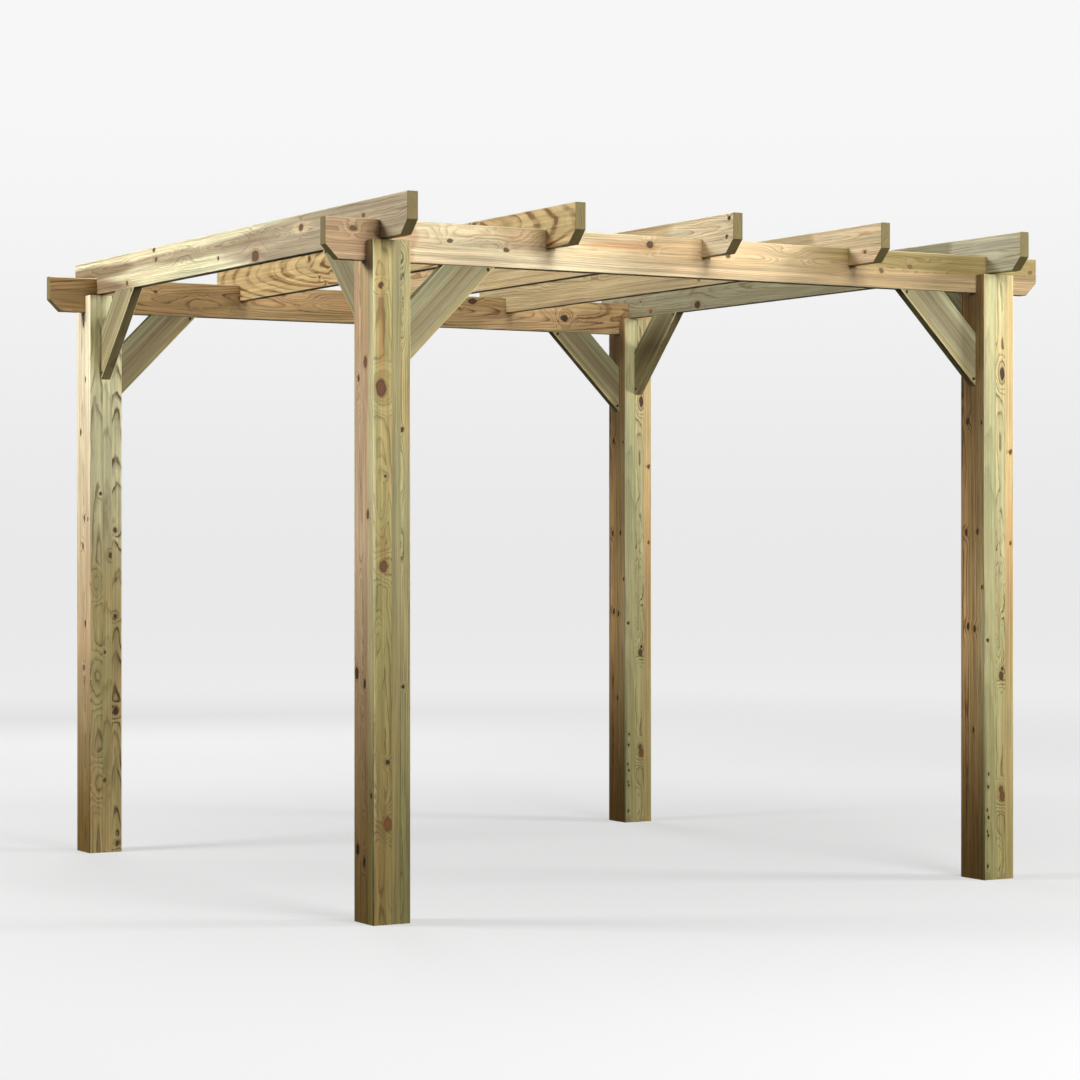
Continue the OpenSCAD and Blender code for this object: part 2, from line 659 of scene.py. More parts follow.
@dataclass(frozen=True)
class SteelFinish:
    """Dark coated screw steel, mottled and rubbed brighter in places."""

    coat: Colour = (52, 46, 40)
    worn: Colour = (128, 118, 104)
    mottling: float = 600.0  # how fine the mottling is, in a metre

    def build(self, name: str) -> bpy.types.Material:
        """Builds the material: a dull coat, mottled and rubbed bright in places.

        Args:
            name: The material's name.

        Returns:
            The finished material.
        """
        graph = material_graph(name)
        place = graph.node("TexCoord", output="Object")
        fine = graph.vector("MULTIPLY", place, (self.mottling, self.mottling, self.mottling))
        mottle = graph.noise(fine, detail=3.0)
        rubbed = graph.ease(mottle, 0.52, 0.7)
        colour = graph.mix(rubbed, srgb(*self.coat), srgb(*self.worn))
        roughness = graph.ease(mottle, 0.3, 0.7, 0.62, 0.38)
        bump = graph.node("Bump", inputs={"Height": mottle, "Strength": 0.3, "Distance": 0.1 * MM})
        return graph.finish(Base_Color=colour, Roughness=roughness, Metallic=0.85, Normal=bump)


# ---------------------------------------------------------------------------------------
# Shapes
# ---------------------------------------------------------------------------------------


@dataclass
class Shape:
    """A mesh being made: points, faces and the marks that the finish reads."""

    points: np.ndarray
    faces: list[list[int]]
    end_grain: np.ndarray
    arris: np.ndarray
    smooth: np.ndarray

    def placed(self, start: Vector, run: Vector, rise: Vector) -> "Shape":
        """Sets the shape in place: its X runs along run, its Y along rise."""
        basis = np.array([run, rise, run.cross(rise)])
        return replace(self, points=self.points @ basis + np.array(start))

    def mesh(self, name: str) -> bpy.types.Object:
        """Makes the Blender object, at the origin, with its place in its mesh.

        Args:
            name: The piece's name.

        Returns:
            The object, linked to the scene.
        """
        mesh = bpy.data.meshes.new(name)
        mesh.from_pydata(self.points.tolist(), [], self.faces)
        for mark, values in (("end_grain", self.end_grain), ("arris", self.arris)):
            mesh.attributes.new(mark, "FLOAT", "FACE").data.foreach_set("value", values)
        mesh.polygons.foreach_set("use_smooth", self.smooth > 0)
        mesh.validate()
        mesh.update()
        piece = bpy.data.objects.new(name, mesh)
        bpy.context.scene.collection.objects.link(piece)
        return piece


def ring_quads(rings: int, around: int) -> np.ndarray:
    """Quads that join rings of points, where point k of ring j is number j * around + k.

    Args:
        rings: How many rings there are.
        around: How many points a ring has.

    Returns:
        Four point numbers for each quad, ring by ring.
    """
    ring, point = np.divmod(np.arange((rings - 1) * around), around)
    after = (point + 1) % around
    return np.stack([point, after, after + around, point + around], axis=1) + ring[:, None] * around


def eased_slab(
    corners: Sequence[tuple[float, float]],
    cuts: Sequence[bool],
    thick: float,
    ease: float,
    seams: Sequence[float] = (),
) -> Shape:
    """A flat timber: its side view carried across its thickness by a rounded profile.

    Point (j, i) is corner i, moved inwards by the profile's inset j and set at the
    profile's depth j. On the two arrises the inset is ease * (1 - sin a) and the depth
    from the face is ease * (1 - cos a), with a from 0 to 90 degrees. A corner moves so
    that it keeps each of its two sides' own inset, and saw cuts take a quarter of it.

    Args:
        corners: The side view's corners, anticlockwise.
        cuts: Whether the side from each corner to the next is a saw cut across the grain.
        thick: The thickness.
        ease: The radius of the eased edges.
        seams: Depths of the glue lines, each a small V groove.

    Returns:
        The shape, with its thickness centred on its own Z.
    """
    steps, groove, cut_share = 4, 0.5 * MM, 0.25
    outline = np.array(corners, float)
    sides = np.roll(outline, -1, axis=0) - outline
    inward = np.stack([-sides[:, 1], sides[:, 0]], axis=1)
    inward /= np.linalg.norm(inward, axis=1, keepdims=True)
    share = np.where(cuts, cut_share, 1.0)
    both = np.stack([np.roll(inward, 1, axis=0), inward], axis=1)
    moves = np.linalg.solve(both, np.stack([np.roll(share, 1), share], axis=1)[..., None])[..., 0]

    angle = np.linspace(0.0, math.pi / 2, steps + 1)
    arc = np.stack([ease * (1 - np.sin(angle)), ease * (1 - np.cos(angle)) - thick / 2], axis=1)
    rows = [arc]
    for seam in seams:
        rows.append(np.array([[0.0, seam - groove], [groove, seam], [0.0, seam + groove]]))
    rows.append(arc[::-1] * (1.0, -1.0))
    profile = np.concatenate(rows)

    flat = outline[None] + profile[:, 0, None, None] * moves[None]
    depth = np.broadcast_to(profile[:, 1, None, None], (*flat.shape[:2], 1))
    points = np.concatenate([flat, depth], axis=2).reshape(-1, 3)

    count, strips = len(outline), len(profile) - 1
    quads = ring_quads(len(profile), count)
    strip, side = np.divmod(np.arange(len(quads)), count)
    caps = [list(range(count))[::-1], [strips * count + i for i in range(count)]]
    rounded = (strip < steps) | (strip >= strips - steps)
    long_side = ~np.array(cuts, bool)[side]
    no_marks = np.zeros(len(caps))
    sawn = np.concatenate([np.array(cuts, float)[side], no_marks])
    eased = np.concatenate([(rounded & long_side).astype(float), no_marks])
    return Shape(points, quads.tolist() + caps, sawn, eased, eased)


def turned_shape(radius: np.ndarray, height: np.ndarray, around: int) -> Shape:
    """A closed turned shape: point (j, k) is at radius j and height j, at angle k.

    Args:
        radius: The profile's radii, starting and ending at 0. Each may also be a row
            of values, one for each angle.
        height: The profile's heights, in the same form.
        around: How many steps go round.

    Returns:
        The shape about its own Z, with poles closed by triangles.
    """
    turn = np.linspace(0.0, 2 * math.pi, around, endpoint=False)
    ring_r = np.broadcast_to(radius[1:-1], (len(radius) - 2, around))
    ring_z = np.broadcast_to(height[1:-1], (len(height) - 2, around))
    grid = np.stack([ring_r * np.cos(turn), ring_r * np.sin(turn), ring_z], axis=2)
    poles = np.array([[0.0, 0.0, height[0].flat[0]], [0.0, 0.0, height[-1].flat[0]]])
    points = np.concatenate([grid.reshape(-1, 3), poles])
    step = np.arange(around)
    after = (step + 1) % around
    first_pole = len(ring_r) * around
    base = first_pole - around
    low = np.stack([after, step, np.full(around, first_pole)], axis=1)
    high = np.stack([base + step, base + after, np.full(around, first_pole + 1)], axis=1)
    faces = ring_quads(len(ring_r), around).tolist() + low.tolist() + high.tolist()
    all_faces = np.ones(len(faces))
    return Shape(points, faces, all_faces, 0 * all_faces, all_faces)


# ---------------------------------------------------------------------------------------
# Timbers
# ---------------------------------------------------------------------------------------

EASE = 3.0 * MM  # radius of the planed arrises
END_CUT = 48.0 * MM  # both legs of the slanting cut under a board's ends
SIDE_PLAY = 0.5 * MM  # play on each side of a beam in its slot or notch


def stand_for(piece: bpy.types.Object, node: str, slot: str, material: bpy.types.Material) -> None:
    """Puts a finished piece in the place of a CAD node.

    Args:
        piece: The piece.
        node: The CAD node that it stands for.
        slot: The record's material slot.
        material: The piece's finish.
    """
    piece.data.materials.append(material)
    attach(piece, BODY)
    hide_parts(node)
    log.info("%s stands for %s: %d faces, %s", piece.name, node, len(piece.data.polygons), slot)


@dataclass
class Timber:
    """What every timber has: the CAD node that it stands for, and its finish."""

    node: str
    finish: TimberFinish
    slot: str = "post_timber"
    low: Vector = field(init=False)
    high: Vector = field(init=False)

    def __post_init__(self) -> None:
        """Takes the timber's corners from the frame."""
        self.low, self.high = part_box(self.node)

    @property
    def middle(self) -> Vector:
        """The middle of the timber's box."""
        return (self.low + self.high) / 2

    @property
    def size(self) -> Vector:
        """The timber's size along X, Y and Z."""
        return self.high - self.low

    def shape(self) -> Shape:
        """The timber's shape, in place."""
        raise NotImplementedError

    def lie(self) -> Lie:
        """How the timber lies."""
        raise NotImplementedError

    def build(self) -> bpy.types.Object:
        """Builds and dresses the timber.

        Returns:
            The finished piece.
        """
        piece = self.shape().mesh(self.node.replace("_", " ").title().replace(" ", "_"))
        material = TimberShader(self.node + "_wood", self.lie(), self.finish).build()
        stand_for(piece, self.node, self.slot, material)
        return piece


@dataclass
class Post(Timber):
    """A square glue-laminated post, its head slotted along X for the beam."""

    beam: str = "front_beam"

    def shape(self) -> Shape:
        """The fork seen from the side, carried across the post, with its glue lines.

        Returns:
            The shape, in place.
        """
        beam_low, beam_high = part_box(self.beam)
        half, top = self.size.y / 2, self.size.z
        slot = (beam_high.y - beam_low.y) / 2 + SIDE_PLAY
        seat = beam_low.z
        corners = [
            (-half, 0.0), (half, 0.0), (half, top), (slot, top),
            (slot, seat), (-slot, seat), (-slot, top), (-half, top),
        ]
        cuts = [True, False] * 4
        seams = [seam * MM - self.size.x / 2 for seam in self.finish.seams]
        slab = eased_slab(corners, cuts, self.size.x, EASE, seams)
        foot = Vector((self.middle.x, self.middle.y, self.low.z))
        return slab.placed(foot, Vector((0, 1, 0)), Vector((0, 0, 1)))

    def lie(self) -> Lie:
        """Up from the left front corner of the foot."""
        return Lie(self.low, Vector((0, 0, 1)), Vector((1, 0, 0)))


@dataclass
class Beam(Timber):
    """A beam on edge along X, with a slanting cut under each end."""

    slot: str = "beam_timber"

    def shape(self) -> Shape:
        """The beam seen from the front, carried across its thickness.

        Returns:
            The shape, in place.
        """
        long, deep = self.size.x, self.size.z
        corners = [
            (END_CUT, 0.0), (long - END_CUT, 0.0), (long, END_CUT),
            (long, deep), (0.0, deep), (0.0, END_CUT),
        ]
        cuts = [False, True, True, False, True, True]
        slab = eased_slab(corners, cuts, self.size.y, EASE)
        return slab.placed(self.lie().start, Vector((1, 0, 0)), Vector((0, 0, 1)))

    def lie(self) -> Lie:
        """Right from the left end, on the centre plane."""
        start = Vector((self.low.x, self.middle.y, self.low.z))
        return Lie(start, Vector((1, 0, 0)), Vector((0, 0, 1)))


@dataclass
class Rafter(Timber):
    """A rafter on edge along Y, notched down over both beams."""

    slot: str = "rafter_timber"

    def shape(self) -> Shape:
        """The rafter seen from the side, carried across its thickness.

        Returns:
            The shape, in place.
        """
        long, deep = self.size.y, self.size.z
        notches = []
        for beam in ("front_beam", "back_beam"):
            beam_low, beam_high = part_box(beam)
            depth = beam_high.z - self.low.z
            start = beam_low.y - self.low.y - SIDE_PLAY
            end = beam_high.y - self.low.y + SIDE_PLAY
            notches += [(start, 0.0), (start, depth), (end, depth), (end, 0.0)]
        corners = [
            (END_CUT, 0.0), *notches, (long - END_CUT, 0.0), (long, END_CUT),
            (long, deep), (0.0, deep), (0.0, END_CUT),
        ]
        notch_cuts = [True, False, True, False]
        cuts = [False, *notch_cuts, *notch_cuts, True, True, False, True, True]
        slab = eased_slab(corners, cuts, self.size.x, EASE)
        return slab.placed(self.lie().start, Vector((0, 1, 0)), Vector((0, 0, 1)))

    def lie(self) -> Lie:
        """Back from the front end, on the centre plane."""
        start = Vector((self.middle.x, self.low.y, self.low.z))
        return Lie(start, Vector((0, 1, 0)), Vector((0, 0, 1)))


@dataclass
class KneeBrace(Timber):
    """A knee brace at 45 degrees, cut flat against a post and the board above it."""

    slot: str = "brace_timber"
    post: str = "front_left_post"
    beam: str = "front_beam"
    screw_from_tip: float = 27.0 * MM
    screw_from_seat: float = 9.5 * MM
    screw_slant: float = 0.85  # how far a screw leans towards the post or board

    @property
    def run(self) -> Vector:
        """The level way from the post's face along the brace.

        Returns:
            A unit vector along X or Y.
        """
        post_low, post_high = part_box(self.post)
        away = self.middle - (post_low + post_high) / 2
        if abs(away.x) > abs(away.y):
            return Vector((math.copysign(1, away.x), 0, 0))
        return Vector((0, math.copysign(1, away.y), 0))

    @property
    def seat(self) -> Vector:
        """The corner where the post's face meets the underside of the board above."""
        above = Vector((self.middle.x, self.middle.y, self.high.z))
        return above - self.run * (abs(self.run.dot(self.size)) / 2)

    def shape(self) -> Shape:
        """The brace seen from its wide side, carried across its thickness.

        Returns:
            The shape, in place.
        """
        beam_low, beam_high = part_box(self.beam)
        reach = self.size.z
        inner = reach - (beam_high.z - beam_low.z) * math.sqrt(2)
        corners = [(0.0, -reach), (reach, 0.0), (inner, 0.0), (0.0, -inner)]
        cuts = [False, True, False, True]
        thick = abs(self.run.cross(Vector((0, 0, 1))).dot(self.size))
        slab = eased_slab(corners, cuts, thick, EASE)
        return slab.placed(self.seat, self.run, Vector((0, 0, 1)))

    def lie(self) -> Lie:
        """Up the slope from the foot's tip, measured from the outer edge.

        Returns:
            The lie.
        """
        up = Vector((0, 0, 1))
        along, across = (self.run + up).normalized(), (up - self.run).normalized()
        return Lie(self.seat - up * self.size.z, along, across)

    def screw_places(self) -> list[tuple[str, Vector, Vector]]:
        """Where the brace's two slanting screws go in.

        Returns:
            For each screw, its name, its entry on the wide face and the way it points.
        """
        up = Vector((0, 0, 1))
        outward = self.run.cross(up)
        if outward.x + outward.y > 0:
            outward = -outward
        thick = abs(outward.dot(self.size))
        face = self.seat + outward * (thick / 2)
        near, far = self.screw_from_seat, self.size.z - self.screw_from_tip
        head = face + self.run * far - up * near
        foot = face + self.run * near - up * far
        return [
            ("upper", head, (up * self.screw_slant - outward).normalized()),
            ("lower", foot, (-self.run * self.screw_slant - outward).normalized()),
        ]

    def build(self) -> bpy.types.Object:
        """Builds the brace, drills its screw pockets and sets the screws in them.

        Returns:
            The finished brace.
        """
        piece = super().build()
        for level, entry, way in self.screw_places():
            BraceScrew(f"{piece.name}_{level}_screw", entry, way).drive_into(piece)
        return piece


@dataclass
class BraceScrew:
    """A countersunk screw at the bottom of a slanting drilled pocket."""

    name: str
    entry: Vector
    way: Vector
    pocket_radius: float = 5.5 * MM
    pocket_depth: float = 10.0 * MM
    head_radius: float = 5.2 * MM
    head_deep: float = 3.4 * MM
    shank_radius: float = 2.4 * MM
    shank_long: float = 6.0 * MM
    recess_deep: float = 1.8 * MM
    recess_half: float = 0.8 * MM  # half the width of the cross's arms
    recess_share: float = 0.6  # how much of the head's radius the arms take up
    rim: float = 0.4 * MM  # thickness of the head's edge
    clearance: float = 2.0 * MM  # between the screw's shoulder and the pocket's bottom
    drill_above: float = 12.0 * MM  # how far the drill stands out of the brace
    around: int = 48
    drill_around: int = 24

    def shape(self) -> Shape:
        """The screw: a turned profile whose top is pressed in along a cross.

        The top dips where the smaller of |x| and |y| is under the arm's half width and the
        radius is under the recess's reach. Z runs from the top of the head to the shank.

        Returns:
            The shape about its own Z.
        """
        turn = np.linspace(0.0, 2 * math.pi, self.around, endpoint=False)
        disc = np.linspace(0.0, 1.0, 9)[1:, None] * self.head_radius
        arm = np.minimum(np.abs(np.cos(turn)), np.abs(np.sin(turn)))[None] * disc
        pressed = (arm < self.recess_half) & (disc < self.recess_share * self.head_radius)
        top = np.where(pressed, self.recess_deep, 0.0)
        tip = self.head_deep + self.shank_long
        cone_r = np.array([self.head_radius, self.shank_radius, self.shank_radius])[:, None]
        cone_z = np.array([self.rim, self.head_deep, tip])[:, None]
        lap = np.ones((1, self.around))
        radius = np.concatenate([0 * lap, disc * lap, cone_r * lap, 0 * lap])
        height = np.concatenate([self.recess_deep * lap, top, cone_z * lap, tip * lap])
        return turned_shape(radius, height, self.around)

    def drive_into(self, brace: bpy.types.Object) -> None:
        """Drills the pocket in the brace and sets the screw at its bottom.

        Args:
            brace: The brace's finished piece.
        """
        side = self.way.orthogonal().normalized()
        above, below = -self.drill_above, self.pocket_depth
        radius = np.array([0.0, self.pocket_radius, self.pocket_radius, 0.0])[:, None]
        height = np.array([above, above, below, below])[:, None]
        cutter = turned_shape(radius, height, self.drill_around)
        cutter = cutter.placed(self.entry, side, self.way.cross(side))
        cutter_piece = cutter.mesh(self.name + "_drill")
        drill = brace.modifiers.new("drill", "BOOLEAN")
        drill.operation, drill.solver, drill.object = "DIFFERENCE", "EXACT", cutter_piece
        bpy.context.view_layer.update()
        evaluated = brace.evaluated_get(bpy.context.evaluated_depsgraph_get())
        drilled = bpy.data.meshes.new_from_object(evaluated)
        brace.modifiers.clear()
        brace.data = drilled
        bpy.data.objects.remove(cutter_piece)

        head = self.entry + self.way * (self.pocket_depth - self.head_deep - self.clearance)
        screw = self.shape().placed(head, side, self.way.cross(side)).mesh(self.name)
        screw.data.materials.append(screw_steel())
        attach(screw, BODY)
        log.info("%s sits in its pocket", screw.name)


def screw_steel() -> bpy.types.Material:
    """The one steel finish that all the screws share."""
    name = "screw_steel"
    return bpy.data.materials.get(name) or SteelFinish().build(name)


# ---------------------------------------------------------------------------------------
# The timbers' own looks
# ---------------------------------------------------------------------------------------


def scattered_knots(
    seed: int, count: int, along: tuple[float, float], side: tuple[float, float], way: Way = Way.THROUGH
) -> tuple[Knot, ...]:
    """Knots at random, for stretches with none of note.

    Args:
        seed: The seed of the draw.
        count: How many knots.
        along: The stretch of the timber.
        side: The range across it.
        way: The way they run.

    Returns:
        The knots.
    """
    rng = np.random.default_rng(seed)
    places = zip(
        np.sort(rng.uniform(*along, count)), rng.uniform(*side, count),
        rng.uniform(4.0, 11.0, count), rng.uniform(1.2, 1.9, count), rng.uniform(0.2, 1.0, count),
    )
    return tuple(Knot(*(float(v) for v in place), way=way) for place in places)


def across_knots(*places: tuple[float, float, float, float]) -> tuple[Knot, ...]:
    """Knots on a post's side: height, distance behind the front, radius and deadness."""
    return tuple(Knot(a, s, r, 1.7, dead, Way.ACROSS) for a, s, r, dead in places)


def eyes(*places: tuple[float, float, float, float]) -> tuple[Knot, ...]:
    """Closed loops of grain over hidden knots: place along, place across, radius, length."""
    return tuple(Knot(a, s, r, long, swirl=2.6, hidden=True) for a, s, r, long in places)


OLIVE = Stave(pale=(212, 194, 134), late=(138, 116, 66), warm=(212, 174, 112), green=(180, 180, 120))
CREAM = Stave(
    pale=(240, 222, 180), late=(180, 138, 84), warm=(238, 196, 144), green=(218, 208, 156),
    pith=(80.0, -70.0), lean=(6.0, 26.0), grain=0.6,
)


def front_left_post() -> TimberFinish:
    """A yellow knotty stave, a grey-green one and a pale green one full of eyes, with painted light on the
    left side at mid height.

    Returns:
        The finish.
    """
    knotty = replace(
        OLIVE, pale=(194, 175, 117), warm=(196, 156, 98), green=(166, 164, 104), pith=(40.0, 60.0),
        lean=(-6.0, 20.0), grain=0.55, seed=1.3,
        knots=(
            Knot(334, 55, 15, 1.5, 0.1), Knot(540, 55, 7, 1.1, 0.9), Knot(1188, 40, 13, 1.4, 0.5),
            Knot(1488, 46, 4.5, 1.2, 0.9), Knot(1780, 31, 17, 1.6, 0.6), Knot(2120, 29, 8, 1.3, 0.8),
            *eyes((420, 16, 7, 4), (640, 12, 8, 6), (860, 14, 7, 5), (960, 26, 6, 4), (1400, 30, 7, 6)),
            *across_knots(
                (204, 64, 8, 1.0), (244, 113, 10, 1.0), (798, 62, 8, 0.9), (830, 120, 11, 0.9),
                (1360, 38, 8, 0.5), (1868, 56, 11, 0.5), (1818, 106, 6, 0.8), (430, 13, 5, 0.9),
            ),
        ),
    )
    plain = replace(
        OLIVE, pale=(182, 170, 122), green=(158, 156, 112), warm=(186, 162, 106), grain=0.3,
        pith=(300.0, 200.0), wander=10.0, seed=4.1,
    )
    eyed = replace(
        OLIVE, pale=(186, 182, 132), green=(158, 164, 110), late=(116, 102, 62), pith=(190.0, 30.0),
        lean=(2.0, 14.0), wander=9.0, grain=0.85, ring=6.0, seed=7.7,
        knots=(
            Knot(1644, 108, 6, 1.2, 0.8), Knot(790, 112, 5, 1.3, 0.9),
            *eyes(
                (40, 112, 7, 6), (225, 112, 6, 9), (1990, 116, 6, 4), (2050, 116, 6, 5),
                (2110, 116, 5, 4), (2215, 118, 9, 2), (1500, 114, 5, 7), (1260, 116, 4, 8),
            ),
            *scattered_knots(11, 5, (150, 2150), (15, 125), Way.ACROSS),
        ),
    )
    zones = (
        Zone((216, 177, 136), 0.85, across=(-6, 6), through=(32, 190), soft=8),
        # Painted light: the left side is lighter at mid height
        Zone((238, 208, 168), 0.75, along=(760, 1800), across=(-6, 6), through=(34, 200), soft=10),
        Zone((236, 230, 176), 0.7, across=(-6, 6), through=(-16, 30), soft=5),
        Zone((190, 144, 86), 0.7, along=(1790, 2130), across=(22, 40), soft=5),
        Zone((180, 134, 74), 0.5, along=(1150, 1320), across=(28, 52), soft=6),
    )
    return TimberFinish((knotty, plain, eyed), (70, 103), zones, foot_shade_and_dirt=0.66, side_shade_and_dirt=0.95, side_shade_reach=1400)


def right_post() -> TimberFinish:
    """A pale green stave, a flowing one and a tan one, with a brown left side that painted shade darkens at
    its top and foot.

    Returns:
        The finish.
    """
    specks = ((52, 18, 4), (168, 20, 4), (182, 15, 3), (236, 21, 4), (262, 17, 3), (352, 19, 4), (398, 22, 3))
    left = replace(
        OLIVE, pale=(200, 194, 144), green=(183, 187, 134), warm=(197, 183, 130), grain=0.3,
        pith=(20.0, 90.0), ring=8.0, side_grain=1.0, seed=11.9,
        knots=(
            Knot(900, 17, 5, 1.2, 0.9), *(Knot(a, s, r, 1.6, 1.0) for a, s, r in specks),
            *across_knots(
                (560, 63, 6, 0.9), (942, 57, 7, 0.9), (950, 95, 7, 0.9), (1308, 40, 7, 0.8),
                (1304, 107, 7, 0.8), (1098, 15, 4, 0.8), (1716, 15, 4, 0.8), (1724, 98, 8, 0.8),
            ),
        ),
    )
    middle = replace(
        OLIVE, pale=(224, 215, 160), green=(198, 201, 148), late=(110, 96, 60), pith=(80.0, 44.0),
        wander=30.0, grain=0.9, seed=14.2,
        knots=(
            Knot(310, 86, 12, 1.5, 0.2), Knot(338, 80, 9, 1.3, 0.3), Knot(764, 81, 10, 1.4, 0.7),
            Knot(790, 87, 6, 1.2, 0.8), Knot(1900, 86, 9, 2.4, 0.95),
            *eyes(
                (860, 74, 5, 5), (925, 62, 5, 5), (1010, 64, 5, 6), (1040, 84, 4, 5),
                (1150, 68, 6, 6), (1165, 88, 4, 5), (1300, 74, 4, 5), (60, 72, 6, 6),
            ),
        ),
    )
    tan = replace(
        OLIVE, pale=(228, 203, 144), warm=(232, 184, 124), green=(216, 208, 150), warmth=0.8, grain=0.5,
        pith=(260.0, 40.0), wander=10.0, ring=6.0, seed=17.5,
        knots=(
            Knot(1608, 125, 6, 1.3, 0.6), Knot(1264, 125, 5, 1.3, 0.4),
            *scattered_knots(12, 5, (150, 2150), (15, 125), Way.ACROSS),
        ),
    )
    zones = (
        Zone((230, 182, 118), 0.85, across=(-6, 6), through=(12, 190), soft=8),
        # Painted shade on the left side: darker at the top, under the beam and braces, and at the foot
        Zone((154, 121, 78), 0.8, along=(1480, 2900), across=(-6, 6), through=(-30, 190), soft=12),
        Zone((140, 108, 72), 0.7, along=(-900, 480), across=(-6, 6), through=(-60, 220), soft=20),
    )
    return TimberFinish((left, middle, tan), (56, 100), zones, foot_shade_and_dirt=0.66, side_shade_and_dirt=1.0)


def back_left_post() -> TimberFinish:
    """A looped stave, a plain one and one with bold arcs, and a cream left side; painted light pales the post
    above and painted shade darkens the left side below.

    Returns:
        The finish.
    """
    looped = replace(
        OLIVE, pale=(216, 192, 134), late=(126, 100, 58), pith=(34.0, 40.0), wander=30.0, grain=0.7,
        ring=6.5, seed=21.4,
        knots=(
            Knot(1464, 47, 4.5, 1.2, 0.9), *eyes((290, 38, 12, 3), (700, 35, 10, 4), (1090, 34, 8, 3)),
            *across_knots(
                (934, 46, 7, 0.8), (756, 60, 6, 0.8), (1250, 73, 7, 0.7), (1364, 58, 7, 0.8),
                (1360, 18, 5, 0.8), (1716, 98, 7, 0.7), (1932, 45, 6, 0.8), (2156, 65, 6, 0.7),
            ),
        ),
    )
    plain = replace(
        OLIVE, pale=(210, 186, 128), grain=0.45, pith=(76.0, 170.0), wander=10.0, seed=24.6,
        knots=(Knot(296, 66, 6, 1.3, 0.6), Knot(818, 66, 5, 1.3, 0.6), Knot(1212, 90, 7, 1.3, 0.6)),
    )
    bold = replace(
        OLIVE, pale=(210, 188, 132), late=(104, 82, 48), pith=(118.0, 30.0), lean=(-2.0, 60.0), grain=0.95,
        ring=7.0, seed=27.1,
        knots=(
            Knot(36, 120, 7, 1.3, 0.7), Knot(576, 113, 10, 1.2, 0.9), Knot(964, 111, 7, 1.3, 0.8),
            Knot(1316, 111, 7, 1.3, 0.5), *scattered_knots(13, 5, (150, 2150), (15, 125), Way.ACROSS),
        ),
    )
    zones = (
        # Painted light: the whole post is paler towards the top
        Zone((255, 248, 196), 0.96, along=(1300, 3300), soft=320),
        Zone((244, 230, 202), 0.85, across=(-6, 6), through=(-20, 170), soft=8),
        # Painted shade: the left side is darker below
        Zone((224, 182, 122), 0.8, along=(-1200, 1480), across=(-6, 6), through=(-60, 200), soft=12),
    )
    return TimberFinish((looped, plain, bold), (57, 97), zones, foot_shade_and_dirt=0.36, side_shade_and_dirt=0.95)


def front_beam() -> TimberFinish:
    """Cream board with cathedral grain above a plain lower strip, olive to the right.

    Returns:
        The finish.
    """
    board = replace(
        CREAM, pith=(100.0, -30.0), lean=(-8.0, 24.0), wander=34.0, ring=6.5, seed=31.0, grain=0.5,
        knots=(
            Knot(100, 104, 8, 1.6, 0.6), Knot(466, 80, 6, 1.4, 0.8), Knot(684, 61, 7, 1.4, 0.7),
            Knot(1264, 108, 10, 1.2, 0.8, swirl=2.4), Knot(1594, 86, 7, 1.4, 0.7),
            Knot(2270, 63, 7, 1.4, 0.7), Knot(2400, 83, 7, 1.4, 0.6), Knot(2970, 88, 6, 1.4, 0.6),
            *eyes((1860, 98, 11, 3), (520, 104, 12, 3), (700, 106, 12, 3), (2480, 92, 8, 5)),
        ),
    )
    zones = (
        Zone((250, 234, 196), 0.5, across=(-20, 50)),
        Zone((214, 176, 136), 0.8, along=(-300, 330)),
        Zone((226, 192, 142), 0.5, along=(1150, 2300), soft=200),
        Zone((174, 148, 104), 0.85, along=(1930, 4000), soft=180),
        Zone((154, 138, 82), 0.8, along=(1960, 4000), across=(62, 200), soft=12),
        Zone((200, 162, 116), 0.6, along=(640, 880), across=(62, 170), soft=20),
        Zone((206, 156, 108), 0.7, along=(980, 1290), across=(90, 116), soft=6),
    )
    knots = {"knot_live": (150, 122, 84), "knot_dead": (92, 82, 66)}
    return TimberFinish((board,), zones=zones, **knots)


def back_beam() -> TimberFinish:
    """Brown board with a big dark knot and broad arcs towards the right.

    Returns:
        The finish.
    """
    board = replace(
        CREAM, pale=(206, 172, 122), late=(140, 98, 52), warm=(206, 160, 104), green=(188, 166, 112),
        pith=(60.0, -60.0), lean=(10.0, 60.0), ring=9.0, wander=20.0, grain=0.8, seed=35.0,
        knots=(
            Knot(2422, 62, 13, 1.3, 1.0, swirl=3.0), Knot(460, 97, 6, 1.4, 0.7), Knot(1040, 107, 6, 1.5, 0.5),
            *eyes((2480, 100, 16, 4), (1120, 84, 12, 3), (700, 60, 10, 5)),
            *scattered_knots(21, 3, (1250, 2150), (20, 120)),
        ),
    )
    brown = Zone((178, 146, 94), 0.6, along=(-400, 760), soft=120)
    return TimberFinish((board,), zones=(brown,))


